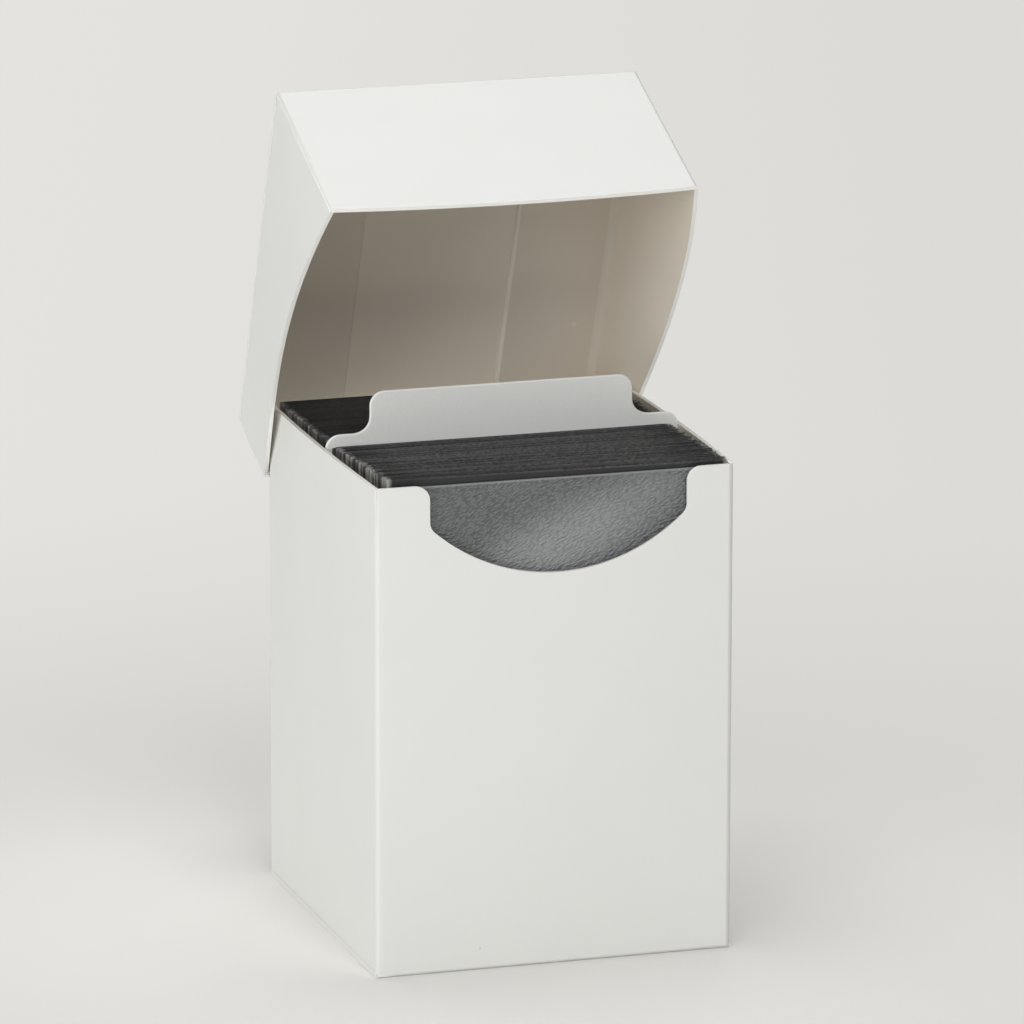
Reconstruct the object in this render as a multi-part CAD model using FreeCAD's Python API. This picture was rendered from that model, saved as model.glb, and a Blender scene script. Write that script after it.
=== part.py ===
import FreeCAD
import Part
import math
import os

# Folding deck box with a flip-top lid, loaded with two stacks of sleeved cards and a divider.
# Millimetres. The box stands on z = 0, centred on x = 0 and y = 0, with its front facing -Y.

# Sheet that the box, its lid and its divider are cut from
sheet = 0.75
fold_radius = 0.75

# Sleeved cards, and how many stand in each stack
sleeve_width = 66.0
sleeve_height = 91.0
sleeve_film = 0.1
sleeve_seam = 1.0
sleeve_mouth = 2.0
card_slack = 1.0
card_thickness = 0.3
card_play = 0.02
sleeve_spacing = 0.03
front_deck_count = 57
rear_deck_count = 63
stack_drift = 0.45
sleeve_stagger = 0.16
sleeve_lift = 0.3
stagger_turn = 2.4
lift_turn = 1.7

# Room round the cards
card_side_room = 0.75
card_end_room = 0.2
rim_above_cards = 0.5

# Thumb notch in the front wall
notch_land = 9.75
notch_depth = 17.9
notch_wall = 8.0
notch_offset = 0.6
notch_rim_radius = 2.7
notch_floor_radius = 2.5

# Flaps that close the bottom and the rear seam
bottom_flap_gap = 7.0
bottom_flap_corner = 6.0
rear_flap_height = 14.0
seam_flap_width = 13.0
flap_clearance = 0.4
rear_corner_radius = 3.0

# Lid
hinge_drop = 14.35
lid_rim_gap = 3.05
lid_front_height = 40.3
lid_front_bow = 1.2
lid_side_bow = 2.4
lid_side_clearance = 0.15
lid_swing_clearance = 0.15
glue_flap_width = 20.3
hinge_bead_radius = 0.25
hinge_clearance = 0.05
lid_open_angle = 68.5

# Divider
divider_shoulder_length = 7.9
divider_shoulder_drop = 7.8
divider_side_clearance = 0.25
divider_head_clearance = 0.55
divider_lift = 7.6
divider_corner_radius = 2.8
divider_crook_radius = 3.0

# Spot welds
weld_radius = 0.8
weld_dimple = 0.15
weld_clearance = 0.03
weld_edge_distance = 6.0
lid_weld_inset = 3.6
lid_weld_step = 13.25

# Sizes that follow from the ones above
sleeve_thickness = 2 * sleeve_film + card_thickness + 2 * card_play
sleeve_pitch = sleeve_thickness + sleeve_spacing
card_width = sleeve_width - 2 * sleeve_seam - card_slack
card_height = sleeve_height - sleeve_seam - sleeve_mouth
front_deck_depth = front_deck_count * sleeve_pitch
rear_deck_depth = rear_deck_count * sleeve_pitch
floor_height = 2 * sheet
box_width = sleeve_width + 2 * card_side_room + 2 * sheet
box_depth = front_deck_depth + rear_deck_depth + 4 * card_end_room + 4 * sheet
box_height = floor_height + sleeve_height + rim_above_cards
hinge_height = box_height - hinge_drop
left = -box_width / 2
right = box_width / 2
front = -box_depth / 2
back = box_depth / 2
lid_width = box_width + 2 * (lid_side_clearance + sheet)
lid_top = box_height + lid_rim_gap + 2 * sheet
lid_swing = math.hypot(box_depth, hinge_drop) - box_depth
lid_front = front - lid_swing - lid_swing_clearance - sheet
lid_half = lid_width / 2
lid_lip = lid_top - lid_front_height
divider_face = front + sheet + 2 * card_end_room + front_deck_depth
divider_height = box_height + lid_rim_gap - floor_height - divider_head_clearance
divider_foot = floor_height + divider_lift

V = FreeCAD.Vector
X = V(1, 0, 0)
Y = V(0, 1, 0)
Z = V(0, 0, 1)


def block(x0, x1, y0, y1, z0, z1):
    return Part.makeBox(x1 - x0, y1 - y0, z1 - z0, V(x0, y0, z0))


def fold(panel, corner, along, inward, run):
    """Mitre and round a panel's folded edge.

    corner starts the sharp outer corner line, along leads from it across the panel, inward leads through
    the sheet, and run is the folded length.
    """
    def at(p, q):
        return corner + along * p + inward * q

    def on_round(degrees):
        angle = math.radians(degrees)
        return at(fold_radius * (1 - math.sin(angle)), fold_radius * (1 - math.cos(angle)))

    spare = sheet
    beyond = sheet + spare
    middle = on_round(45)
    edges = [
        Part.makeLine(at(-spare, -spare), at(fold_radius, -spare)),
        Part.makeLine(at(fold_radius, -spare), on_round(0)),
        Part.Arc(on_round(0), on_round(22.5), middle).toShape(),
        Part.makeLine(middle, at(beyond, beyond)),
        Part.makeLine(at(beyond, beyond), at(-spare, beyond)),
        Part.makeLine(at(-spare, beyond), at(-spare, -spare)),
    ]
    return panel.cut(Part.Face(Part.Wire(edges)).extrude(run))


def round_corners(shape, axis, radius, corners):
    """Round the edges along an axis that pass through the given corner points."""
    chosen = []
    for edge in shape.Edges:
        ends = [vertex.Point for vertex in edge.Vertexes]
        if len(ends) != 2 or (ends[1] - ends[0]).cross(axis).Length > 1e-6:
            continue
        for point in corners:
            if (point - ends[0]).cross(axis).Length < 1e-4:
                chosen.append(edge)
    return shape.makeFillet(radius, chosen)


def weld(flap, seats, through):
    """Pierce a flap at its weld seats and give the dimpled weld buttons that fill the holes."""
    buttons = []
    for seat in seats:
        flap = flap.cut(Part.makeCylinder(weld_radius + weld_clearance, sheet, seat, through))
        crown_radius = weld_radius - weld_dimple
        buttons.append(Part.makeCone(weld_radius, crown_radius, sheet - weld_dimple, seat, through))
    return flap, buttons


def save(name, *shapes):
    shape = shapes[0] if len(shapes) == 1 else Part.makeCompound(shapes)
    shape.exportStep("parts/" + name + ".step")


def save_lid(name, *shapes):
    """Save lid pieces, made closed, turned back about the hinge to the photographed angle."""
    for shape in shapes:
        shape.rotate(V(0, back, hinge_height), X, -lid_open_angle)
    save(name, *shapes)


# Front wall: folded at both sides and at the bottom, with the thumb notch in its rim
def make_front_panel():
    panel = block(left, right, front, front + sheet, 0, box_height)
    panel = fold(panel, V(left, front, 0), X, Y, Z * box_height)
    panel = fold(panel, V(right, front, 0), -X, Y, Z * box_height)
    panel = fold(panel, V(left, front, 0), Z, Y, X * box_width)
    side = box_width / 2 - notch_land
    above = box_height + sheet
    bend = box_height - notch_wall

    def at(x, z):
        return V(notch_offset + x, front - sheet, z)

    half_chord_rise = notch_depth - notch_wall
    radius = (side ** 2 + half_chord_rise ** 2) / (2 * half_chord_rise)
    quarter = math.sqrt(radius ** 2 - (side / 2) ** 2) - (radius - half_chord_rise)
    outline = [
        Part.makeLine(at(-side, bend), at(-side, above)),
        Part.makeLine(at(-side, above), at(side, above)),
        Part.makeLine(at(side, above), at(side, bend)),
        Part.Arc(at(side, bend), at(side / 2, bend - quarter), at(-side, bend)).toShape(),
    ]
    panel = panel.cut(Part.Face(Part.Wire(outline)).extrude(Y * 3 * sheet))
    panel = round_corners(panel, Y, notch_floor_radius, [at(-side, bend), at(side, bend)])
    return round_corners(panel, Y, notch_rim_radius, [at(-side, box_height), at(side, box_height)])


# Side walls stand full height; behind the hinge line they step in to let the lid's rear strip pass
flap_front = front + sheet + flap_clearance
flap_back = back - 2 * sheet - flap_clearance
flap_run = flap_back - flap_front
step_back = back - sheet - lid_side_clearance
step_top = hinge_height - hinge_clearance
seam_bottom = floor_height + flap_clearance
seam_top = step_top - flap_clearance


def cut_rear_step(panel, x0):
    step = block(x0, x0 + sheet, step_back, back, step_top, box_height)
    panel = panel.cut(step)
    return round_corners(panel, X, rear_corner_radius, [V(x0, step_back, box_height)])


def make_left_side_panel():
    panel = block(left, left + sheet, front, back, sheet, box_height)
    panel = fold(panel, V(left, front, sheet), Y, X, Z * box_height)
    panel = fold(panel, V(left, back, sheet), -Y, X, Z * (step_top - sheet))
    panel = fold(panel, V(left, flap_front, sheet), Z, X, Y * flap_run)
    return cut_rear_step(panel, left)


def make_right_side_panel():
    panel = block(right - sheet, right, front, back - sheet, sheet, box_height)
    panel = fold(panel, V(right, front, sheet), Y, -X, Z * box_height)
    panel = fold(panel, V(right, back - sheet, seam_bottom), -Y, -X, Z * (seam_top - seam_bottom))
    panel = fold(panel, V(right, flap_front, sheet), Z, -X, Y * flap_run)
    return cut_rear_step(panel, right - sheet)


# Back wall: ends at the hinge line in a cove round the hinge bead
def hinge_bore(extra):
    half = lid_half + extra
    return Part.makeCylinder(hinge_bead_radius + hinge_clearance, 2 * half, V(-half, back, hinge_height), X)


def make_back_panel():
    panel = block(left, right, back - sheet, back, 0, hinge_height)
    panel = fold(panel, V(left, back, 0), X, -Y, Z * hinge_height)
    return panel.cut(hinge_bore(sheet))


# Seam flap of the right wall, welded to the inside of the back wall
def make_side_seam():
    flap = block(right - seam_flap_width, right, back - 2 * sheet, back - sheet, seam_bottom, seam_top)
    flap = fold(flap, V(right, back - sheet, seam_bottom), -X, -Y, Z * (seam_top - seam_bottom))
    middle = right - seam_flap_width / 2
    lowest = seam_bottom + weld_edge_distance
    highest = seam_top - weld_edge_distance
    heights = [lowest, (lowest + highest) / 2, highest]
    return weld(flap, [V(middle, back - sheet, z) for z in heights], -Y)


# Bottom: one panel folded from the front wall, whose end folds up inside the back wall
rear_flap_left = left + sheet + flap_clearance
rear_flap_right = right - seam_flap_width - flap_clearance


def make_bottom_panel():
    panel = block(left, right, front, back - sheet, 0, sheet)
    panel = fold(panel, V(left, front, 0), Y, Z, X * box_width)
    run = X * (rear_flap_right - rear_flap_left)
    return fold(panel, V(rear_flap_left, back - sheet, 0), -Y, Z, run)


def make_bottom_rear_flap():
    flap = block(rear_flap_left, rear_flap_right, back - 2 * sheet, back - sheet, 0, rear_flap_height)
    run = X * (rear_flap_right - rear_flap_left)
    flap = fold(flap, V(rear_flap_left, back - sheet, 0), Z, -Y, run)
    height = (rear_flap_height + floor_height) / 2
    places = [rear_flap_left + weld_edge_distance, rear_flap_right - weld_edge_distance]
    return weld(flap, [V(x, back - sheet, height) for x in places], -Y)


def make_bottom_side_flap(side):
    """Make the left flap (side -1) or the right flap (side 1) with its free corners cut off."""
    edge = side * box_width / 2
    free = side * bottom_flap_gap / 2
    taper = bottom_flap_corner
    points = [
        V(edge, flap_front, sheet),
        V(free + side * taper, flap_front, sheet),
        V(free, flap_front + taper, sheet),
        V(free, flap_back - taper, sheet),
        V(free + side * taper, flap_back, sheet),
        V(edge, flap_back, sheet),
    ]
    flap = Part.Face(Part.makePolygon(points + points[:1])).extrude(Z * sheet)
    flap = fold(flap, V(edge, flap_front, sheet), X * -side, Z, Y * flap_run)
    seat = V(free + side * weld_edge_distance, (flap_front + flap_back) / 2, sheet)
    return weld(flap, [seat], Z)


# Lid: hinge bead, rear strip, top and front are one run of sheet folded twice
def make_living_hinge():
    return Part.makeCylinder(hinge_bead_radius, lid_width, V(-lid_half, back, hinge_height), X)


def make_lid_rear_strip():
    strip = block(-lid_half, lid_half, back - sheet, back, hinge_height, lid_top)
    strip = fold(strip, V(-lid_half, back, lid_top), -Z, -Y, X * lid_width)
    return strip.cut(hinge_bore(sheet))


def make_lid_top_panel():
    panel = block(-lid_half, lid_half, lid_front, back, lid_top - sheet, lid_top)
    panel = fold(panel, V(-lid_half, back, lid_top), -Y, -Z, X * lid_width)
    return fold(panel, V(-lid_half, lid_front, lid_top), Y, -Z, X * lid_width)


def make_lid_front_panel():
    lower_corners = [V(x, lid_front, lid_lip) for x in (-lid_half, lid_half)]
    upper_corners = [V(x, lid_front, lid_top) for x in (lid_half, -lid_half)]
    lip = Part.Arc(lower_corners[0], V(0, lid_front, lid_lip - lid_front_bow), lower_corners[1]).toShape()
    outline = Part.Wire([lip] + Part.makePolygon([lower_corners[1]] + upper_corners + lower_corners[:1]).Edges)
    panel = Part.Face(outline).extrude(Y * sheet)
    panel = fold(panel, V(-lid_half, lid_front, lid_top), -Z, Y, X * lid_width)
    run = Z * lid_front_height
    panel = fold(panel, V(-lid_half, lid_front, lid_lip), X, Y, run)
    return fold(panel, V(lid_half, lid_front, lid_lip), -X, Y, run)


# Lid sides: straight-cut from the front's lower corner to the hinge, with a free edge that bows outwards
side_back = back - sheet
side_top = lid_top - sheet
glue_front = lid_front + sheet + flap_clearance
glue_back = back - sheet - flap_clearance


def make_lid_side_panel(side):
    """Make the left panel (side -1) or the right panel (side 1), ruled from its fold to its bowed edge."""
    outer = side * lid_half
    corner = V(outer, lid_front, lid_lip)
    slope = (hinge_height - lid_lip) / (back - lid_front)
    heel = V(outer, side_back, lid_lip + slope * (side_back - lid_front))
    mean_height = side_top - (corner.z + heel.z) / 2
    spread = X * side * lid_side_bow * 4 / 3 / mean_height
    chord = heel - corner
    free_edge = Part.BezierCurve()
    free_edge.setPoles([
        corner,
        corner + chord / 3 + spread * (side_top - corner.z),
        heel - chord / 3 + spread * (side_top - heel.z),
        heel,
    ])
    top_edge = Part.makeLine(V(outer, lid_front, side_top), V(outer, side_back, side_top))
    panel = Part.makeRuledSurface(top_edge, free_edge.toShape()).extrude(X * -side * sheet)
    panel = fold(panel, corner, Y, X * -side, Z * (side_top - lid_lip))
    return fold(panel, V(outer, glue_front, side_top), -Z, X * -side, Y * (glue_back - glue_front))


# Glue flaps of the lid sides, welded under the lid's top
def make_lid_glue_flap(side):
    outer = side * lid_half
    inner = outer - side * glue_flap_width
    flap = block(min(outer, inner), max(outer, inner), glue_front, glue_back, side_top - sheet, side_top)
    flap = fold(flap, V(outer, glue_front, side_top), X * -side, -Z, Y * (glue_back - glue_front))
    near_edge = inner + side * lid_weld_inset
    near_fold = outer - side * weld_edge_distance
    seats = [
        V(near_edge, glue_back - lid_weld_inset, side_top),
        V(near_fold, glue_back - lid_weld_inset - lid_weld_step, side_top),
        V(near_edge, glue_front + lid_weld_step, side_top),
    ]
    return weld(flap, seats, -Z)


# Divider between the stacks: shoulders at the walls and a wide tab to lift it by
def make_divider():
    half = box_width / 2 - sheet - divider_side_clearance
    tab = half - divider_shoulder_length
    head = divider_foot + divider_height
    shoulder = head - divider_shoulder_drop

    def at(x, z):
        return V(x, divider_face, z)

    outline = [
        at(-half, divider_foot),
        at(half, divider_foot),
        at(half, shoulder),
        at(tab, shoulder),
        at(tab, head),
        at(-tab, head),
        at(-tab, shoulder),
        at(-half, shoulder),
    ]
    plate = Part.Face(Part.makePolygon(outline + outline[:1])).extrude(Y * sheet)
    crooks = [at(-tab, shoulder), at(tab, shoulder)]
    plate = round_corners(plate, Y, divider_crook_radius, crooks)
    corners = [point for point in outline if point not in crooks]
    return round_corners(plate, Y, divider_corner_radius, corners)


# Sleeved cards: every sleeve is a pouch welded at both sides and the foot, open at the top
def make_deck(first_face, count, drift):
    """Make one stack, front to back, with its sleeves a little out of line with each other."""
    sleeves = []
    cards = []
    pocket = sleeve_width / 2 - sleeve_seam
    for i in range(count):
        y = first_face + i * sleeve_pitch
        x = drift * (1 - 2 * i / count) + sleeve_stagger * math.sin(stagger_turn * i)
        z = floor_height + sleeve_lift * (1 + math.sin(lift_turn * i)) / 2
        half = sleeve_width / 2
        pouch = block(x - half, x + half, y, y + sleeve_thickness, z, z + sleeve_height)
        pocket_back = y + sleeve_thickness - sleeve_film
        foot = z + sleeve_seam
        hollow = block(x - pocket, x + pocket, y + sleeve_film, pocket_back, foot, z + sleeve_height)
        sleeves.append(pouch.cut(hollow))
        card_face = y + sleeve_film + card_play
        card_back = card_face + card_thickness
        half = card_width / 2
        cards.append(block(x - half, x + half, card_face, card_back, foot, foot + card_height))
    return sleeves, cards


os.makedirs("parts", exist_ok=True)

save("front_panel", make_front_panel())
save("left_side_panel", make_left_side_panel())
save("right_side_panel", make_right_side_panel())
save("back_panel", make_back_panel())
seam_flap, seam_welds = make_side_seam()
save("side_seam_flap", seam_flap)
save("side_seam_welds", *seam_welds)
save("bottom_panel", make_bottom_panel())
rear_flap, rear_flap_welds = make_bottom_rear_flap()
save("bottom_rear_flap", rear_flap)
left_flap, left_flap_welds = make_bottom_side_flap(-1)
save("bottom_left_flap", left_flap)
right_flap, right_flap_welds = make_bottom_side_flap(1)
save("bottom_right_flap", right_flap)
save("bottom_welds", *rear_flap_welds, *left_flap_welds, *right_flap_welds)

save_lid("living_hinge", make_living_hinge())
save_lid("lid_rear_strip", make_lid_rear_strip())
save_lid("lid_top_panel", make_lid_top_panel())
save_lid("lid_front_panel", make_lid_front_panel())
save_lid("lid_left_side_panel", make_lid_side_panel(-1))
save_lid("lid_right_side_panel", make_lid_side_panel(1))
left_glue_flap, left_glue_welds = make_lid_glue_flap(-1)
save_lid("lid_left_glue_flap", left_glue_flap)
right_glue_flap, right_glue_welds = make_lid_glue_flap(1)
save_lid("lid_right_glue_flap", right_glue_flap)
save_lid("lid_welds", *left_glue_welds, *right_glue_welds)

save("divider", make_divider())
front_sleeves, front_cards = make_deck(front + sheet + card_end_room, front_deck_count, stack_drift)
save("front_deck_sleeves", *front_sleeves)
save("front_deck_cards", *front_cards)
rear_start = divider_face + sheet + card_end_room
rear_sleeves, rear_cards = make_deck(rear_start, rear_deck_count, 0)
save("rear_deck_sleeves", *rear_sleeves)
save("rear_deck_cards", *rear_cards)
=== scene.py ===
import math

import bmesh
import bpy
from mathutils import Matrix, Vector
from mathutils.bvhtree import BVHTree


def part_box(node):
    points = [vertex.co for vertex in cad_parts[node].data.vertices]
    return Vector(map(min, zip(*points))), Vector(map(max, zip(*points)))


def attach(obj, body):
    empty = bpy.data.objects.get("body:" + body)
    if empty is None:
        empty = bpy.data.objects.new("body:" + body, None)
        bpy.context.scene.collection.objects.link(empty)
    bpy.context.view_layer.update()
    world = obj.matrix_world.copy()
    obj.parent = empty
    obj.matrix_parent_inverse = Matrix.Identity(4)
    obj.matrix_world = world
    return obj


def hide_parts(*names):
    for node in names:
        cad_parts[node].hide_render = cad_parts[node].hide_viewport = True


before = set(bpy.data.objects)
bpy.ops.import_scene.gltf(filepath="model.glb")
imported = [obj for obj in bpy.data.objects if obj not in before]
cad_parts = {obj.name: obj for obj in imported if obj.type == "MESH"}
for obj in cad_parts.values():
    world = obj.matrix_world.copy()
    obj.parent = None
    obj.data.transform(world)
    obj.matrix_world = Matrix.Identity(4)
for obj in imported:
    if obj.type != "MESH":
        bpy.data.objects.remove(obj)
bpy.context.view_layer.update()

bpy.context.scene.view_settings.view_transform = "Standard"


# Box walls: white polypropylene sheet, 0.75 mm thick, die-cut, creased and folded into a tube.
# The cut edges are rounded over by the die, and the cards push the front and side walls out a little.
class Socket:
    """An output of a material's nodes, so that sums on it can be written as plain arithmetic."""

    def __init__(self, tree, output):
        self.tree = tree
        self.output = output

    def node(self, kind, settings, values, output=0):
        """Add a node: its settings come first, then the values or links of its sockets."""
        made = self.tree.nodes.new("ShaderNode" + kind)
        for name, value in settings.items():
            setattr(made, name, value)
        for name, value in values.items():
            if isinstance(value, Socket):
                self.tree.links.new(value.output, made.inputs[name])
            else:
                made.inputs[name].default_value = value
        return Socket(self.tree, made.outputs[output])

    def maths(self, operation, first, second=0.0):
        return self.node("Math", {"operation": operation}, {0: first, 1: second})

    def __add__(self, other):
        return self.maths("ADD", self, other)

    __radd__ = __add__

    def __sub__(self, other):
        return self.maths("SUBTRACT", self, other)

    def __rsub__(self, other):
        return self.maths("SUBTRACT", other, self)

    def __mul__(self, other):
        return self.maths("MULTIPLY", self, other)

    __rmul__ = __mul__

    def ramp(self, low, high):
        """0 below low, 1 above high, and a soft step between them."""
        settings = {"interpolation_type": "SMOOTHSTEP"}
        return self.node("MapRange", settings, {"Value": self, "From Min": low, "From Max": high})

    def mix(self, first, second):
        """The first colour where this is 0, the second where it is 1."""
        return self.node("Mix", {"data_type": "RGBA"}, {0: self, 6: first, 7: second}, 2)

    def noise(self, per_metre, detail=2.0, roughness=0.5):
        values = {"Vector": self, "Scale": per_metre, "Detail": detail, "Roughness": roughness}
        return self.node("TexNoise", {}, values)

    def stretched(self, scale):
        return self.node("Mapping", {}, {"Vector": self, "Scale": scale})

    def into(self, shader, name):
        self.tree.links.new(self.output, shader.inputs[name])


def new_finish(name, **constants):
    """A material's shader with its constants set, and the object coordinates that its patterns read."""
    material = bpy.data.materials.new(name)
    material.use_nodes = True
    tree = material.node_tree
    shader = tree.nodes["Principled BSDF"]
    for socket, value in constants.items():
        shader.inputs[socket.replace("_", " ")].default_value = value
    place = Socket(tree, tree.nodes.new("ShaderNodeTexCoord").outputs["Object"])
    return material, shader, place


sheet_specular = 0.42
specks_per_metre = 75.0


def sheet_finish(name, tone, mark, grain_depth, gloss):
    """Satin sheet: milky, faintly mottled, with a fine rolled grain, hair scuffs and a few specks."""
    material, shader, place = new_finish(name, Specular_IOR_Level=sheet_specular)
    cloud = place.noise(55.0, 3.0)
    grain = place.noise(2600.0, 2.0, 0.6)
    scuff = place.stretched((2600.0, 2600.0, 60.0)).noise(1.0, 3.0, 0.7).ramp(0.66, 0.8)
    cells = place.node("TexVoronoi", {}, {"Vector": place, "Scale": specks_per_metre})
    lone = place.node("TexVoronoi", {}, {"Vector": place, "Scale": specks_per_metre}, "Color")
    picked = place.node("SeparateColor", {}, {"Color": lone}).ramp(0.81, 0.83)
    speck = (1.0 - cells.ramp(0.008, 0.018)) * picked
    worn = speck * 0.55 + scuff * 0.05 + cloud * 0.06
    worn.mix(tone, mark).into(shader, "Base Color")
    (cloud * 0.1 + scuff * 0.12 + (gloss - 0.05)).into(shader, "Roughness")
    height = grain * 0.7 + cloud * 0.6 - scuff * 0.4
    bump = place.node("Bump", {}, {"Strength": 0.35, "Distance": grain_depth, "Height": height})
    bump.into(shader, "Normal")
    return material


def settled(piece):
    """Let the flat faces of a piece set its shading, so that rounded edges don't tint them."""
    even = piece.modifiers.new("even", "WEIGHTED_NORMAL")
    even.weight = 100
    even.keep_sharp = True
    mesh = bpy.data.meshes.new_from_object(piece.evaluated_get(bpy.context.evaluated_depsgraph_get()))
    piece.modifiers.clear()
    mesh.name = piece.name
    piece.data = mesh
    return piece


smooth_below = math.radians(38)


def new_piece(name, shape, finishes):
    """Turn a built shape into a finished object, its folds sharp and its curves smooth."""
    mesh = bpy.data.meshes.new(name)
    shape.to_mesh(mesh)
    shape.free()
    mesh.set_sharp_from_angle(angle=smooth_below)
    for finish in finishes:
        mesh.materials.append(finish)
    piece = bpy.data.objects.new(name, mesh)
    bpy.context.scene.collection.objects.link(piece)
    return settled(piece)


same_place = 1e-6
touching = 1e-7
flat_angle = math.radians(0.3)
small_facet = 0.000001
edge_on = 0.2
faces_out = 0.6
faces_in = -0.9


def soften(node, outward, finishes, edge=0.0002, slices=(), bow=None, plugged=False, crease=0.985):
    """Copy a sheet node with its free cut edges rounded over, its folds left sharp at the mitre.

    The four finishes are those of the outside, the cut edges, the inside and the rounded folds.
    """
    outward = Vector(outward)
    shape = bmesh.new()
    shape.from_mesh(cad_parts[node].data)
    bmesh.ops.remove_doubles(shape, verts=shape.verts, dist=same_place)
    bmesh.ops.dissolve_limit(shape, angle_limit=flat_angle, verts=shape.verts, edges=shape.edges)
    for point, normal in slices:
        whole = shape.verts[:] + shape.edges[:] + shape.faces[:]
        bmesh.ops.bisect_plane(shape, geom=whole, dist=touching, plane_co=point, plane_no=normal)
    shape.normal_update()

    def is_cut(face):
        return abs(face.normal.dot(outward)) < edge_on

    def is_inside(face):
        return face.normal.dot(outward) < faces_in

    def is_skin(face):
        return (face.normal.dot(outward) > faces_out and not plugged) or is_inside(face)

    if plugged:
        walls = [face for face in shape.faces if is_cut(face) and face.calc_area() < small_facet]
        bmesh.ops.delete(shape, geom=walls, context="FACES")
        bmesh.ops.holes_fill(shape, edges=[line for line in shape.edges if line.is_boundary], sides=0)
        bmesh.ops.dissolve_limit(shape, angle_limit=flat_angle, verts=shape.verts, edges=shape.edges)
        shape.normal_update()
    free = []
    for line in shape.edges:
        if len(line.link_faces) == 2:
            one, two = line.link_faces
            if (is_cut(one) and is_skin(two)) or (is_cut(two) and is_skin(one)):
                free.append(line)
    for face in shape.faces:
        if is_cut(face):
            face.material_index = 1
        elif is_inside(face):
            face.material_index = 2
        elif 0 < face.normal.dot(outward) < crease:
            face.material_index = 3
        else:
            face.material_index = 0
    bmesh.ops.bevel(
        shape, geom=free, offset=edge, offset_type="OFFSET", segments=3, profile=0.5,
        affect="EDGES", clamp_overlap=True, material=1,
    )
    bmesh.ops.dissolve_degenerate(shape, dist=touching, edges=shape.edges)
    if bow:
        for vertex in shape.verts:
            vertex.co += bow(vertex.co)
    return new_piece(node + "_sheet", shape, finishes)


def seat(piece, body, slot, *nodes):
    """Let a finished piece move with its body, in place of the plain solids it dresses."""
    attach(piece, body)
    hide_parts(*nodes)


def grid(low, high, axes, steps):
    """Cutting planes that divide a panel evenly along the given axes."""
    planes = []
    for axis, count in zip(axes, steps):
        normal = Vector([float(axis == i) for i in range(3)])
        for i in range(1, count):
            planes.append((low.lerp(high, i / count), normal))
    return planes


rolled_grain = 0.00003
cut_grain = 0.00002
white_sheet = sheet_finish(
    "white_satin_sheet", tone=(0.835, 0.84, 0.815, 1), mark=(0.46, 0.45, 0.42, 1),
    grain_depth=rolled_grain, gloss=0.46)
cut_edge = sheet_finish(
    "die_cut_edge", tone=(0.92, 0.915, 0.875, 1), mark=(0.6, 0.59, 0.56, 1),
    grain_depth=cut_grain, gloss=0.34)
# The inside faces are tinted warm: painted warm light, standing in for light scattered through the thin
# sheet.
inner_face_painted_glow = sheet_finish(
    "sheet_inner_face_painted_glow", tone=(0.87, 0.805, 0.70, 1), mark=(0.50, 0.47, 0.42, 1),
    grain_depth=rolled_grain, gloss=0.45)
# The rounded folds are painted a little darker than the flat sheet: painted shade that tones down the
# light they catch.
crease_painted_shade = sheet_finish(
    "creased_fold_painted_shade", tone=(0.775, 0.78, 0.755, 1), mark=(0.5, 0.49, 0.46, 1),
    grain_depth=rolled_grain, gloss=0.5)
white_finishes = (white_sheet, cut_edge, inner_face_painted_glow, crease_painted_shade)

side_bow = 0.0007
bow_rise = 1.5
front_bow = 0.0008
front_crown = 0.85
box_low, box_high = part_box("front_panel")
rim = box_high.z
half_depth = -box_low.y
half_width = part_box("bottom_panel")[1].x
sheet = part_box("bottom_panel")[1].z
mitre_tip = sheet * (1 - math.cos(math.radians(45)))
fold_growth = 1.6
fold_reach = 0.003
foot_top = 2 * sheet
foot_tip = sheet + mitre_tip
crease_depth = 0.00003


def eased_fold(point):
    """The outside of an upright fold, drawn out into a wider round than the sheet's own thickness.

    The rear right corner, where the seam is, keeps its tight fold.
    """
    inset = half_width - abs(point.x)
    depth = half_depth - abs(point.y)
    near, along = sorted((inset, depth))
    if along >= fold_reach or (point.x > 0 and point.y > 0):
        return Vector()
    drawn = fold_growth * sheet
    if along > sheet:
        growth = (drawn + (along - sheet) * (fold_reach - drawn) / (fold_reach - sheet)) / along
    else:
        growth = fold_growth
    skin = 1 - min(max((near - mitre_tip) / (sheet - mitre_tip), 0), 1)
    grow = (growth - 1) * skin
    return Vector((-math.copysign(inset, point.x) * grow, -math.copysign(depth, point.y) * grow, 0))


def wall_bow(outward):
    """The bulge of a side wall, its upright folds, and the tight crease at its foot."""
    def push(point):
        along = 1 - (point.y / half_depth) ** 2
        bulge = outward * side_bow * max(along, 0) * (max(point.z, 0) / rim) ** bow_rise
        if foot_tip - same_place < point.z < foot_top and abs(point.x) > half_width - sheet / 2:
            up = max((point.z - foot_tip) / (foot_top - foot_tip), 0)
            pressed = half_width - crease_depth * (1 - up) ** 2
            lowered = sheet + up * (foot_top - sheet)
            return Vector((outward * (pressed - abs(point.x)), 0, lowered - point.z))
        return Vector((bulge, 0, 0)) + eased_fold(point)
    return push


def front_push(point):
    """The bulge of the loaded front wall, fullest above its middle, so that the lid clears its rim."""
    along = 1 - (point.x / (half_width - fold_growth * sheet)) ** 2
    rise = math.sin(math.pi * front_crown * min(max(point.z, 0) / rim, 1))
    return eased_fold(point) - Vector((0, front_bow * max(along, 0) * rise, 0))


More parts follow.
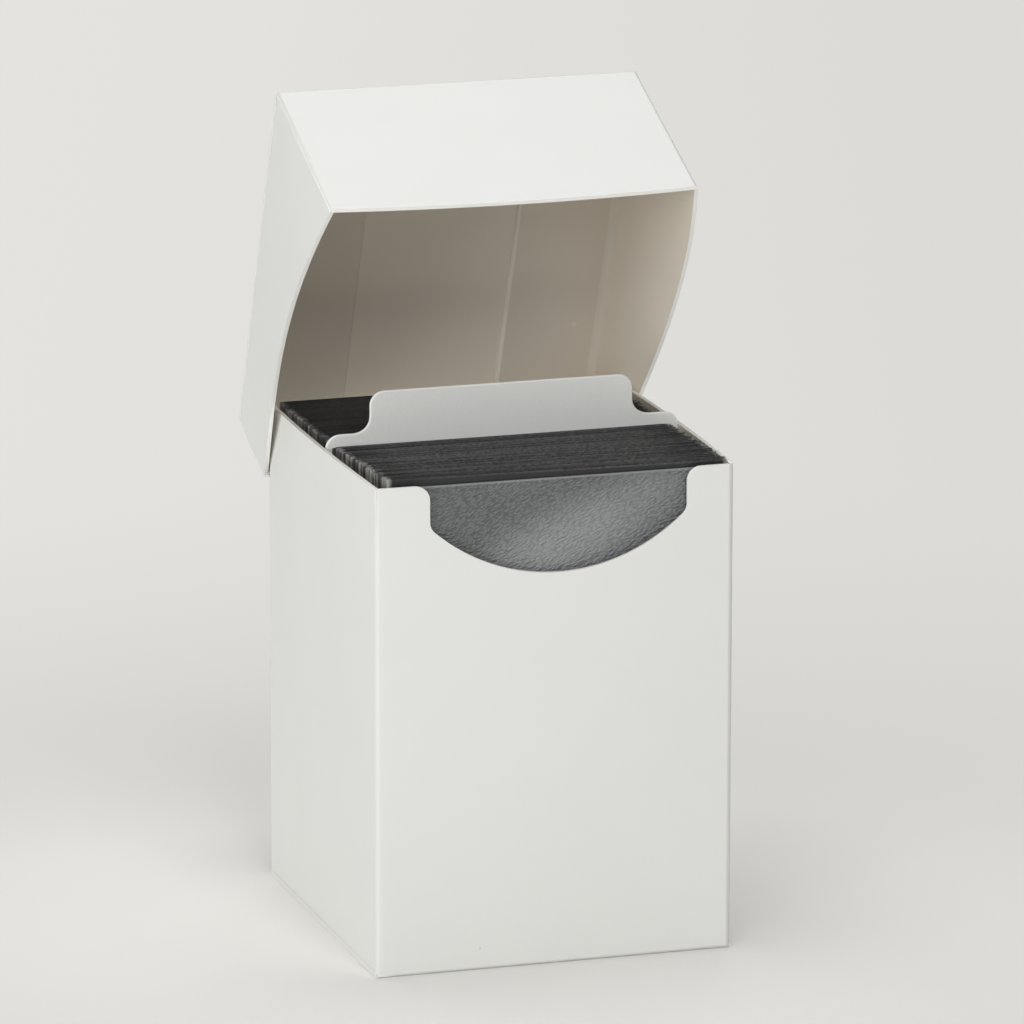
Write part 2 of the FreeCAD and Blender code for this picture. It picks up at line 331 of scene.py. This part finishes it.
low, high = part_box("front_panel")
front = soften("front_panel", (0, -1, 0), white_finishes,
               slices=grid(low, high, (0, 2), (18, 10)), bow=front_push)
seat(front, "box", "white_sheet", "front_panel")
for node, outward in (("left_side_panel", -1), ("right_side_panel", 1)):
    low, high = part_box(node)
    wall = soften(node, (outward, 0, 0), white_finishes, slices=grid(low, high, (1, 2), (14, 10)),
                  bow=wall_bow(outward))
    seat(wall, "box", "white_sheet", node)
back = soften("back_panel", (0, 1, 0), white_finishes, bow=eased_fold)
seat(back, "box", "white_sheet", "back_panel")


# Bottom and seam flaps: the same sheet, folded in at the foot of the walls and inside the back wall.
# They are held by spot welds, small dimples where the hot pin has melted two layers into one.
# The welds are lighter where the sheet has melted, and tinted warm like the lid's flaps: painted warm
# light.
weld_melt_and_painted_glow, weld_shader, weld_place = new_finish("spot_weld_melt_and_painted_glow", Specular_IOR_Level=sheet_specular)
flow = weld_place.noise(1800.0, 3.0)
flow.mix((0.84, 0.775, 0.68, 1), (0.92, 0.86, 0.76, 1)).into(weld_shader, "Base Color")
(flow * 0.2 + 0.3).into(weld_shader, "Roughness")
melted = weld_place.node("Bump", {}, {"Strength": 0.5, "Distance": 0.00005, "Height": flow})
melted.into(weld_shader, "Normal")


def dress(finish, *nodes):
    """Give solids that keep their own shape their finish."""
    for node in nodes:
        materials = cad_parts[node].data.materials
        materials.clear()
        materials.append(finish)


dress(white_sheet, "side_seam_flap", "bottom_panel", "bottom_rear_flap", "bottom_left_flap",
      "bottom_right_flap")
dress(weld_melt_and_painted_glow, "side_seam_welds", "bottom_welds")


# Lid: one run of the same sheet, hinged along the back wall and folded over the top and front.
# Its sides fold down from the front and are welded under the top by wide flaps.
# Their free edges are forced out into a bow, and the welds show as low spots on the flaps.
lid_angle = math.radians(-68.5)
lid_turn = Matrix.Rotation(lid_angle, 3, "X")
hinge = Vector((0.0, 0.0361, 0.07865))
plain_edges = (white_sheet, white_sheet, inner_face_painted_glow, crease_painted_shade)
for node, outward, finishes in (
    ("lid_rear_strip", (0, 1, 0), plain_edges),
    ("lid_top_panel", (0, 0, 1), plain_edges),
    ("lid_front_panel", (0, -1, 0), white_finishes),
):
    panel = soften(node, lid_turn @ Vector(outward), finishes)
    seat(panel, "lid", "white_sheet", node)


def as_closed(point):
    """Where a point of the lid lies when the lid is shut."""
    return lid_turn.inverted() @ (point - hinge) + hinge


def as_open(point):
    """Where a point of the shut lid lies in the photograph's open lid."""
    return lid_turn @ (point - hinge) + hinge


# The hollow of each inner fold is tinted warm like the lid's inside faces: painted warm light.
fold_face_painted_glow = sheet_finish(
    "inner_fold_face_painted_glow", tone=(0.84, 0.775, 0.675, 1), mark=(0.47, 0.44, 0.40, 1),
    grain_depth=rolled_grain, gloss=0.45)
flap_level = 0.09605
fold_radius = 0.0016
fold_ends = (-0.0370, 0.0349)
fold_stations = 13
fold_segments = 7
fold_root = 0.0002
fold_probe = 0.00005
sunk = 0.00002


def inner_fold(side, outward, name):
    """The hollow of the fold between a side panel and its flap, a soft quarter round."""
    tree = BVHTree.FromPolygons([vertex.co for vertex in side.data.vertices],
                                [face.vertices[:] for face in side.data.polygons])

    def inner_x(y, z):
        return tree.ray_cast(as_open(Vector((0, y, z))), Vector((outward, 0, 0)))[0].x

    shape = bmesh.new()
    rings = []
    below = flap_level - fold_radius
    for station in range(fold_stations):
        y = fold_ends[0] + (fold_ends[1] - fold_ends[0]) * station / (fold_stations - 1)
        corner = Vector((inner_x(y, flap_level - fold_probe), y, flap_level))
        near = corner - Vector((outward * fold_radius, 0, -sunk))
        far = Vector((inner_x(y, below) + outward * sunk, y, below))
        ring = []
        for i in range(fold_segments + 1):
            t = i / fold_segments
            ring.append(near * (1 - t) ** 2 + corner * 2 * t * (1 - t) + far * t ** 2)
        ring.append(corner + Vector((outward * fold_root, 0, fold_root)))
        rings.append([shape.verts.new(as_open(point)) for point in ring])
    for one, two in zip(rings, rings[1:]):
        for i in range(len(one)):
            j = (i + 1) % len(one)
            shape.faces.new((one[i], one[j], two[j], two[i]))
    shape.faces.new(rings[0])
    shape.faces.new(rings[-1])
    bmesh.ops.recalc_face_normals(shape, faces=shape.faces)
    return new_piece(name, shape, [fold_face_painted_glow])


spring = 0.00028
spring_reach = 0.03
fold_rows = (0.0008, 0.0016, 0.0026, 0.004)
flare_rise = 1.6
flare_skew = 1.15
for node, outward, spread in (("lid_left_side_panel", -1, 0.0011), ("lid_right_side_panel", 1, 0.0005)):
    shut = [as_closed(vertex.co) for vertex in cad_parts[node].data.vertices]
    low = Vector([min(point[axis] for point in shut) for axis in range(3)])
    high = Vector([max(point[axis] for point in shut) for axis in range(3)])
    rows = grid(low, high, (1, 2), (12, 6))
    rows += [(high - Vector((0, 0, drop)), Vector((0, 0, 1))) for drop in fold_rows]
    planes = [(as_open(point), lid_turn @ normal) for point, normal in rows]

    def flare(point):
        """The bow of the free edge, and the spring of the sheet just below the fold."""
        place = as_closed(point)
        along = (place.y - low.y) / (high.y - low.y)
        down = max((high.z - place.z) / (high.z - low.z), 0)
        middle = math.sin(math.pi * min(max(along, 0), 1) ** flare_skew)
        out = spring * (1 - math.exp(-down / spring_reach)) + (spread - spring) * down ** flare_rise
        return Vector((outward * out * middle, 0, 0))

    side = soften(node, (outward, 0, 0), white_finishes, slices=planes, bow=flare, crease=0.9)
    seat(side, "lid", "white_sheet", node)
    fold = inner_fold(side, outward, node.replace("side_panel", "inner_fold"))
    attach(fold, "lid")
# The flaps are painted darker and warmer than the single sheet: painted shade where two layers let less
# light through, and painted warm light.
flap_face_painted_shade = sheet_finish(
    "glue_flap_face_painted_shade", tone=(0.80, 0.735, 0.635, 1), mark=(0.45, 0.42, 0.38, 1),
    grain_depth=rolled_grain, gloss=0.45)
# The right flap's free edge is painted almost white: a painted highlight along it.
flap_edge_painted_highlight = sheet_finish(
    "glue_flap_edge_painted_highlight", tone=(0.97, 0.905, 0.80, 1), mark=(0.6, 0.57, 0.52, 1),
    grain_depth=cut_grain, gloss=0.4)
for node, trim in (("lid_left_glue_flap", flap_face_painted_shade), ("lid_right_glue_flap", flap_edge_painted_highlight)):
    flap = soften(node, lid_turn @ Vector((0, 0, 1)), (flap_face_painted_shade, trim, flap_face_painted_shade, flap_face_painted_shade),
                  edge=0.0006, plugged=True)
    seat(flap, "lid", "white_sheet", node)
dress(white_sheet, "living_hinge")

spot_height = 0.00006
spot_rings = (1.0, 0.8, 0.6, 0.4, 0.2)
spot_sides = 20
pads = bmesh.new()
pads.from_mesh(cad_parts["lid_welds"].data)
bmesh.ops.remove_doubles(pads, verts=pads.verts, dist=same_place)
unseen = set(pads.verts)
spots = []
while unseen:
    island = {unseen.pop()}
    front_line = list(island)
    while front_line:
        vertex = front_line.pop()
        for line in vertex.link_edges:
            other = line.other_vert(vertex)
            if other in unseen:
                unseen.remove(other)
                island.add(other)
                front_line.append(other)
    places = [as_closed(vertex.co) for vertex in island]
    x_low, x_high = min(place.x for place in places), max(place.x for place in places)
    y_low, y_high = min(place.y for place in places), max(place.y for place in places)
    spots.append(((x_low + x_high) / 2, (y_low + y_high) / 2, (x_high - x_low) / 2))
pads.free()
shape = bmesh.new()
for x, y, radius in sorted(spots):
    rings = []
    for part in spot_rings:
        level = flap_level + sunk - spot_height * (1 + math.cos(math.pi * part)) / 2
        ring = []
        for i in range(spot_sides):
            angle = math.tau * i / spot_sides
            spot_x = x + radius * part * math.cos(angle)
            spot_y = y + radius * part * math.sin(angle)
            ring.append(shape.verts.new(as_open(Vector((spot_x, spot_y, level)))))
        rings.append(ring)
    for one, two in zip(rings, rings[1:]):
        for i in range(spot_sides):
            j = (i + 1) % spot_sides
            shape.faces.new((one[i], one[j], two[j], two[i]))
    shape.faces.new(rings[0])
    shape.faces.new(rings[-1])
bmesh.ops.recalc_face_normals(shape, faces=shape.faces)
spot_piece = new_piece("lid_weld_spots", shape, [weld_melt_and_painted_glow])
seat(spot_piece, "lid", "weld", "lid_welds")


# Divider: a frosted grey polypropylene sheet, die-cut with two shoulders and a wide tab.
# Nothing holds it: it stands loose between the two stacks, raised a little above its seat.
divider_sheet = sheet_finish(
    "frosted_divider_sheet", tone=(0.845, 0.855, 0.825, 1), mark=(0.53, 0.54, 0.52, 1),
    grain_depth=0.0005, gloss=0.5)
divider_edge = sheet_finish(
    "divider_cut_edge", tone=(0.90, 0.905, 0.885, 1), mark=(0.7, 0.7, 0.68, 1),
    grain_depth=cut_grain, gloss=0.4)
shoulder_start = 0.0265
shoulder_run = 0.006
right_reach = 0.0012
left_reach = 0.0007


def shoulder_reach(point):
    """The shoulders stand out to the walls, more on the right, as the walls bow away from them."""
    outer = min(max((abs(point.x) - shoulder_start) / shoulder_run, 0), 1)
    reach = right_reach if point.x > 0 else -left_reach
    return Vector((reach * outer * (max(point.z, 0) / rim) ** bow_rise, 0, 0))


divider = soften("divider", (0, -1, 0), (divider_sheet, divider_edge, divider_sheet, divider_sheet),
                 edge=0.00028, bow=shoulder_reach)
seat(divider, "divider", "divider_sheet", "divider")


# Sleeves and cards: pouches of dark embossed film, welded at both sides and the foot, each open at
# the top and holding one plain card of black-core stock. They stand in two stacks, a little out of
# line with each other because nothing clamps them.
film = 0.0001
sleeve_width = 0.0654
sleeve_height = 0.091
sleeve_depth = 0.00054
sleeve_pitch = 0.00056
seam = 0.001
mouth = 0.002
lip_height = 0.0004
waist = 0.06
card_slack = 0.0005
card_play = 0.00002
card_corner = 0.003
corner_steps = 4


def pouch_mesh():
    """One sleeve, open at the top, with the cut edges of its sides and of its mouth marked."""
    half = sleeve_width / 2
    middle = sleeve_depth / 2
    flat = half - seam
    outer = [(-half, middle - film), (-flat, 0), (flat, 0), (half, middle - film),
             (half, middle + film), (flat, sleeve_depth), (-flat, sleeve_depth), (-half, middle + film)]
    pocket_side, pocket_back = flat - film, sleeve_depth - film
    inner = [(-flat, middle), (-pocket_side, film), (pocket_side, film), (flat, middle),
             (flat, middle), (pocket_side, pocket_back), (-pocket_side, pocket_back), (-flat, middle)]
    levels = (0.0, waist, sleeve_height - lip_height, sleeve_height)
    shape = bmesh.new()
    side_mark = shape.verts.layers.float.new("film_side")
    mouth_mark = shape.verts.layers.float.new("film_mouth")
    rings = []
    for level in levels:
        ring = [shape.verts.new((x, y, level)) for x, y in outer]
        rings.append(ring)
        for vertex in ring:
            vertex[side_mark] = float(abs(vertex.co.x) > half - film)
            vertex[mouth_mark] = float(level == sleeve_height)
    pocket = []
    for level in (levels[0] + seam, levels[-1]):
        pocket.append([shape.verts.new((x, y, level)) for x, y in inner])
    for vertex in pocket[1]:
        vertex[mouth_mark] = 1.0
    count = len(outer)
    for i in range(count):
        j = (i + 1) % count
        for lower, upper in zip(rings, rings[1:]):
            shape.faces.new((lower[i], lower[j], upper[j], upper[i]))
        shape.faces.new((rings[-1][i], rings[-1][j], pocket[1][j], pocket[1][i]))
        shape.faces.new((pocket[1][i], pocket[1][j], pocket[0][j], pocket[0][i]))
    shape.faces.new(list(reversed(rings[0])))
    shape.faces.new(pocket[0])
    bmesh.ops.remove_doubles(shape, verts=shape.verts, dist=touching)
    bmesh.ops.recalc_face_normals(shape, faces=shape.faces)
    mesh = bpy.data.meshes.new("sleeve_pouch")
    shape.to_mesh(mesh)
    shape.free()
    return mesh


def card_mesh():
    """One card, with rounded upper corners, standing in the pocket of its sleeve."""
    half = sleeve_width / 2 - seam - card_slack
    level = sleeve_height - mouth - card_corner
    outline = [(-half, seam), (half, seam)]
    for x, start in ((half - card_corner, 0), (card_corner - half, 90)):
        for i in range(corner_steps + 1):
            angle = math.radians(start + 90 * i / corner_steps)
            outline.append((x + card_corner * math.cos(angle), level + card_corner * math.sin(angle)))
    front_face, back_face = film + card_play, sleeve_depth - film - card_play
    shape = bmesh.new()
    near = [shape.verts.new((x, front_face, z)) for x, z in outline]
    far = [shape.verts.new((x, back_face, z)) for x, z in outline]
    shape.faces.new(near)
    shape.faces.new(list(reversed(far)))
    for i in range(len(outline)):
        j = (i + 1) % len(outline)
        shape.faces.new((near[i], far[i], far[j], near[j]))
    bmesh.ops.recalc_face_normals(shape, faces=shape.faces)
    mesh = bpy.data.meshes.new("card_blank")
    shape.to_mesh(mesh)
    shape.free()
    return mesh


stack_tree = bpy.data.node_groups.new("stack_of_sleeves", "GeometryNodeTree")
stack_inputs = {}
for name, kind in (
    ("Geometry", "NodeSocketGeometry"), ("Count", "NodeSocketInt"), ("First", "NodeSocketVector"),
    ("Pitch", "NodeSocketFloat"), ("Front drift", "NodeSocketFloat"), ("Back drift", "NodeSocketFloat"),
    ("Loose", "NodeSocketFloat"), ("Wander", "NodeSocketFloat"), ("Front raise", "NodeSocketFloat"),
    ("Back raise", "NodeSocketFloat"), ("Lift", "NodeSocketFloat"), ("Front tilt", "NodeSocketFloat"),
    ("Lean", "NodeSocketFloat"), ("Shaded palest", "NodeSocketFloat"),
    ("Seed", "NodeSocketInt"), ("Finish", "NodeSocketMaterial"),
):
    entry = stack_tree.interface.new_socket(name, in_out="INPUT", socket_type=kind)
    stack_inputs[name] = entry.identifier
stack_tree.interface.new_socket("Geometry", in_out="OUTPUT", socket_type="NodeSocketGeometry")


def step(kind, settings=None, links=None):
    """Add a node to the stack's tree, its settings first, then its links and values."""
    made = stack_tree.nodes.new(kind)
    for name, value in (settings or {}).items():
        setattr(made, name, value)
    for name, value in (links or {}).items():
        if isinstance(value, bpy.types.NodeSocket):
            stack_tree.links.new(value, made.inputs[name])
        else:
            made.inputs[name].default_value = value
    return made


def combine(operation, first, second):
    """One sum of two numbers, each a socket or a plain value."""
    return step("ShaderNodeMath", {"operation": operation}, {0: first, 1: second}).outputs[0]


given = step("NodeGroupInput").outputs
index = step("GeometryNodeInputIndex").outputs[0]
last = combine("SUBTRACT", given["Count"], 1.0)
share = combine("DIVIDE", index, last)


def graded(front, back):
    """A size that changes evenly from the first sleeve to the last."""
    return combine("ADD", front, combine("MULTIPLY", share, combine("SUBTRACT", back, front)))


def scatter(low, high, offset):
    """A random number for each sleeve."""
    seed = combine("ADD", given["Seed"], float(offset))
    values = {2: low, 3: high, "ID": index, "Seed": seed}
    return step("FunctionNodeRandomValue", {"data_type": "FLOAT"}, values).outputs[1]


walk_pace = 0.34
walk_start = 7.3
way = combine("ADD", combine("MULTIPLY", index, walk_pace), combine(
    "MULTIPLY", given["Seed"], walk_start))
walk = step("ShaderNodeTexNoise", {"noise_dimensions": "1D"}, {
    "W": way, "Scale": 1.0, "Detail": 1.0}).outputs[0]
across = combine("ADD", graded(given["Front drift"], given["Back drift"]), combine(
    "MULTIPLY", combine("SUBTRACT", walk, 0.5), given["Wander"]))
across = combine("ADD", across, combine("MULTIPLY", scatter(-1.0, 1.0, 1), given["Loose"]))
raised = combine("ADD", graded(given["Front raise"], given["Back raise"]), combine(
    "MULTIPLY", scatter(0.0, 1.0, 2), given["Lift"]))
behind = combine("MINIMUM", index, 1.0)
raised = combine("MULTIPLY", raised, behind)
shift = step("ShaderNodeCombineXYZ", {}, {"X": across, "Z": raised}).outputs[0]
run = step("ShaderNodeCombineXYZ", {}, {"Y": given["Pitch"]}).outputs[0]
line = step("GeometryNodeMeshLine", {}, {
    "Count": given["Count"], "Start Location": given["First"], "Offset": run})
placed = step("GeometryNodeSetPosition", {}, {"Geometry": line.outputs[0], "Offset": shift})
tilt = combine("ADD", combine("MULTIPLY", graded(given["Front tilt"], 0.0), behind), combine(
    "MULTIPLY", scatter(-1.0, 1.0, 3), given["Lean"]))
turn = step("ShaderNodeCombineXYZ", {}, {"Y": tilt}).outputs[0]
copies = step("GeometryNodeInstanceOnPoints", {}, {
    "Points": placed.outputs[0], "Instance": given["Geometry"], "Rotation": turn})
# Each sleeve gets a random tone up to the stack's palest value; a low palest value darkens a whole
# stack as painted shade.
paleness_and_shade = combine("MULTIPLY", scatter(0.5, 1.0, 4), given["Shaded palest"])
per_sleeve = {"data_type": "FLOAT", "domain": "INSTANCE"}
toned = step("GeometryNodeStoreNamedAttribute", per_sleeve, {
    "Geometry": copies.outputs[0], "Name": "sleeve_tone_and_shade", "Value": paleness_and_shade})
ranked = step("GeometryNodeStoreNamedAttribute", per_sleeve, {
    "Geometry": toned.outputs[0], "Name": "sleeve_behind", "Value": behind})
made_real = step("GeometryNodeRealizeInstances", {}, {"Geometry": ranked.outputs[0]})
finished = step("GeometryNodeSetMaterial", {}, {
    "Geometry": made_real.outputs[0], "Material": given["Finish"]})
step("NodeGroupOutput", {}, {"Geometry": finished.outputs[0]})


def stack(name, blank, values):
    """Run the stack's tree on one blank and keep the result as a plain mesh."""
    piece = bpy.data.objects.new(name, blank)
    bpy.context.scene.collection.objects.link(piece)
    modifier = piece.modifiers.new("stack", "NODES")
    modifier.node_group = stack_tree
    for key, value in values.items():
        modifier[stack_inputs[key]] = value
    evaluated = piece.evaluated_get(bpy.context.evaluated_depsgraph_get())
    mesh = bpy.data.meshes.new_from_object(evaluated)
    piece.modifiers.remove(modifier)
    piece.data = mesh
    mesh.name = name
    return piece


emboss_slant = math.radians(-20)
emboss_size = (0.00088, 0.0006, 0.00037)
emboss_depth = 0.00028
sheen_centre = (0.0015, 0.0, 0.0797)
sheen_slant = math.radians(-24)
sheen_size = (0.026, 10.0, 0.0085)
glint_stretch = (1.0, 0.0, 1.6)
glint_centre = (0.0195, 0.0, 0.1437)
sleeve_film, film_shader, film_place = new_finish("embossed_sleeve_film", Specular_IOR_Level=0.5)
# The per-sleeve tone: random, and low across the rear deck, where it is painted shade.
tone = film_place.node("Attribute", {"attribute_name": "sleeve_tone_and_shade"}, {}, "Fac")
side_edge = film_place.node("Attribute", {"attribute_name": "film_side"}, {}, "Fac")
open_end = film_place.node("Attribute", {"attribute_name": "film_mouth"}, {}, "Fac")
slanted = film_place.node("Mapping", {"vector_type": "TEXTURE"}, {
    "Vector": film_place, "Rotation": (0.0, emboss_slant, 0.0), "Scale": emboss_size})
pebbles = slanted.node("TexVoronoi", {"feature": "SMOOTH_F1"}, {
    "Vector": slanted, "Scale": 1.0, "Smoothness": 0.4})
leather = 1.0 - pebbles
tilted = film_place.node("Mapping", {"vector_type": "TEXTURE"}, {
    "Vector": film_place, "Location": sheen_centre, "Rotation": (0.0, sheen_slant, 0.0),
    "Scale": sheen_size})
from_sheen = tilted.node("VectorMath", {"operation": "LENGTH"}, {0: tilted}, "Value")
sheen = 1.0 - from_sheen.ramp(0.15, 1.25)
glint = film_place.node("VectorMath", {"operation": "DISTANCE"}, {
    0: film_place.stretched(glint_stretch), 1: glint_centre}, "Value")
cloud = film_place.noise(60.0, 2.0)
# The first sleeve's face is painted lighter in a broad slanted band and in a small spot near its top: a
# painted sheen and a painted glint, over a faint real cloud.
sheen_and_cloud = sheen * 0.68 + (1.0 - glint.ramp(0.001, 0.008)) * 0.12 + (cloud - 0.5) * 0.3
dark = tone.mix((0.016, 0.016, 0.017, 1), (0.158, 0.164, 0.169, 1))
grain = leather.ramp(0.32, 0.68)
face = (sheen_and_cloud * 0.6 + grain * 0.14 + 0.04).mix(dark, (0.45, 0.46, 0.465, 1))
behind_in_painted_shade = film_place.node("Attribute", {"attribute_name": "sleeve_behind"}, {}, "Fac")
# Sleeves behind the first get a near-black face: painted shade, for the shadow behind the first sleeve.
body = behind_in_painted_shade.mix(face, (0.023, 0.023, 0.0245, 1))
streak = film_place.stretched((1400.0, 1700.0, 2000.0)).noise(1.0, 1.0, 0.6)
stripe = film_place.stretched((30.0, 1800.0, 0.0)).noise(1.0, 0.0).ramp(0.36, 0.64)
slope = film_place.node("VectorMath", {"operation": "DOT_PRODUCT"}, {
    0: film_place, 1: (0.09, 1.0, 0.0)}, "Value")
# The deck top is painted darker towards its front edge: painted shade.
shade = slope.ramp(-0.036, -0.030) * 0.45 + 0.5
from_middle = film_place.node("SeparateXYZ", {}, {"Vector": film_place})
ends = from_middle.maths("ABSOLUTE", from_middle).ramp(0.021, 0.031)
ruled = 1.0 - ends * (1.0 - stripe) * 0.75
lit = streak.ramp(0.05, 0.95) * tone * shade * ruled
lip_back = lit.mix((0.018, 0.018, 0.019, 1), (0.21, 0.21, 0.212, 1))
# The first sleeve's lip is painted light, a painted highlight on its top edge; the lips behind it carry
# the painted shade.
lip_highlight_and_shade = behind_in_painted_shade.mix((0.30, 0.305, 0.31, 1), lip_back)
nick = film_place.stretched((900.0, 800.0, 60.0)).noise(1.0, 2.0).ramp(0.42, 0.6)
cut = (nick * (tone * 0.6 + 0.4)).mix((0.08, 0.08, 0.078, 1), (0.48, 0.48, 0.46, 1))
side_edge.mix(open_end.mix(body, lip_highlight_and_shade), cut).into(film_shader, "Base Color")
(leather * 0.25 + 0.3).into(film_shader, "Roughness")
relief = leather * (1.0 - open_end) * (1.0 - behind_in_painted_shade)
embossed = film_place.node("Bump", {}, {"Strength": 1.0, "Distance": emboss_depth, "Height": relief})
embossed.into(film_shader, "Normal")

card_stock, card_shader, card_place = new_finish("black_core_card", Specular_IOR_Level=0.3)
fibre = card_place.stretched((300.0, 5000.0, 3000.0)).noise(1.0, 3.0)
fibre.mix((0.03, 0.03, 0.032, 1), (0.075, 0.073, 0.07, 1)).into(card_shader, "Base Color")
(fibre * 0.2 + 0.6).into(card_shader, "Roughness")

first_gap = 0.0004
for deck, count, drifts, front_raise, front_tilt, shaded_palest, seed in (
    ("front_deck", 57, (0.0, -0.0001), 0.00128, 0.0095, 1.0, 11),
    # The rear deck's low palest value is painted shade, for the shade of the open lid over it.
    ("rear_deck", 63, (0.0002, -0.0002), 0.00055, 0.0, 0.18, 29),
):
    low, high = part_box(deck + "_sleeves")
    values = {
        "Count": count, "First": (0.0, low.y + first_gap, low.z), "Pitch": sleeve_pitch,
        "Front drift": drifts[0], "Back drift": drifts[1], "Loose": 0.00014, "Wander": 0.0005,
        "Front raise": front_raise, "Back raise": 0.00055, "Lift": 0.0003,
        "Front tilt": front_tilt, "Lean": 0.002, "Shaded palest": shaded_palest, "Seed": seed,
    }
    sleeves = stack(deck + "_sleeve_stack", pouch_mesh(), {**values, "Finish": sleeve_film})
    seat(sleeves, deck, "sleeve_film", deck + "_sleeves")
    cards = stack(deck + "_card_stack", card_mesh(), {**values, "Finish": card_stock})
    seat(cards, deck, "card_stock", deck + "_cards")


# Studio: a pale paper floor under a large overhead lamp, with two lamps in front, a near key at
# the left front, a long low strip at the left and a weak rim at the right. Away from the object
# the floor goes over into a pale backdrop, which is seen and mirrored but lights nothing. Close to
# the object the backdrop is painted darker, a painted shadow around it, and it is painted a little
# darker towards the right of the view, a painted fall-off of light.
floor_size = 8.0
floor_drop = 0.00002
bpy.ops.mesh.primitive_plane_add(size=floor_size, location=(0, 0, -floor_drop))
floor = bpy.context.active_object
floor.name = "studio_floor"
floor_paper, floor_shader, floor_place = new_finish(
    "floor_paper", Roughness=0.8, Specular_IOR_Level=0.2)
paper = floor_place.noise(30.0, 3.0)
paper.mix((0.86, 0.85, 0.82, 1), (0.88, 0.87, 0.84, 1)).into(floor_shader, "Base Color")
away = floor_place.node("VectorMath", {"operation": "LENGTH"}, {0: floor_place}, "Value")
seen = floor_place.node("LightPath", {}, {}, "Is Camera Ray")
for ray in ("Is Glossy Ray", "Is Transmission Ray"):
    seen = seen.maths("MAXIMUM", seen, floor_place.node("LightPath", {}, {}, ray))
picture_right = (0.955, -0.297, 0.0)
sideways = floor_place.node("VectorMath", {"operation": "DOT_PRODUCT"}, {
    0: floor_place, 1: picture_right}, "Value")
# The far backdrop is painted darker towards the right of the view: a painted fall-off of light.
far_tone_painted_falloff = sideways.ramp(-0.14, 0.14).mix((0.774, 0.766, 0.736, 1), (0.722, 0.707, 0.686, 1))
# Near the object the backdrop is painted darker: a painted shadow around the object.
backdrop_with_painted_shade = away.ramp(0.05, 0.36).mix((0.66, 0.65, 0.625, 1), far_tone_painted_falloff)
glow = floor_place.node("Emission", {}, {"Color": backdrop_with_painted_shade}, "Emission")
paper_floor = Socket(floor_place.tree, floor_shader.outputs["BSDF"])
blend = floor_place.node("MixShader", {}, {
    0: away.ramp(0.06, 0.19) * seen, 1: paper_floor, 2: glow}, "Shader")
blend.into(floor_place.tree.nodes["Material Output"], "Surface")
floor.data.materials.append(floor_paper)

world = bpy.data.worlds.new("studio_air")
world.use_nodes = True
air = world.node_tree.nodes["Background"].inputs
air["Color"].default_value = (1.0, 0.985, 0.95, 1)
air["Strength"].default_value = 0.03
bpy.context.scene.world = world


def softbox(name, place, target, width, height, power):
    """A rectangular lamp of so many watts, turned to its target."""
    lamp = bpy.data.lights.new(name, "AREA")
    lamp.shape = "RECTANGLE"
    lamp.size = width
    lamp.size_y = height
    lamp.energy = power
    stand = bpy.data.objects.new(name, lamp)
    stand.location = place
    stand.rotation_euler = (Vector(target) - Vector(place)).to_track_quat("-Z", "Y").to_euler()
    bpy.context.scene.collection.objects.link(stand)


aim = (0.0, 0.0, 0.06)
softbox("overhead", (0.0, 0.35, 1.3), aim, 1.1, 1.1, 11.0)
softbox("key_left", (-0.447, -0.638, 0.51), aim, 0.4, 0.4, 1.5)
softbox("front", (0.0, -1.4, 0.8), aim, 0.8, 0.5, 3.3)
softbox("front_high", (0.0, -1.2, 1.0), aim, 0.5, 0.4, 4.5)
softbox("left_low", (-1.2, -0.4, 0.2), aim, 1.1, 0.38, 6.2)
softbox("rim_right", (1.2, 0.35, 0.3), aim, 0.6, 0.6, 1.5)

yaw = math.radians(17.27)
pitch = math.radians(14.11)
roll = math.radians(0.099)
eye_right, eye_up, eye_back = 0.002769, 0.075319, 1.70421
sensor = 36.0
focal_pixels = 9000
picture_pixels = 1024
forward = Vector((math.sin(yaw) * math.cos(pitch), math.cos(yaw) * math.cos(pitch), -math.sin(pitch)))
horizon = Vector((math.cos(yaw), -math.sin(yaw), 0))
upright = horizon.cross(forward)
right = horizon * math.cos(roll) + upright * math.sin(roll)
up = upright * math.cos(roll) - horizon * math.sin(roll)
eye = right * eye_right + up * eye_up - forward * eye_back
lens = bpy.data.cameras.new("photo_camera")
lens.sensor_width = sensor
lens.lens = sensor * focal_pixels / picture_pixels
lens.clip_end = 20.0
camera = bpy.data.objects.new("photo_camera", lens)
camera.matrix_world = Matrix((
    (right.x, up.x, -forward.x, eye.x),
    (right.y, up.y, -forward.y, eye.y),
    (right.z, up.z, -forward.z, eye.z),
    (0, 0, 0, 1),
))
bpy.context.scene.collection.objects.link(camera)
bpy.context.scene.camera = camera
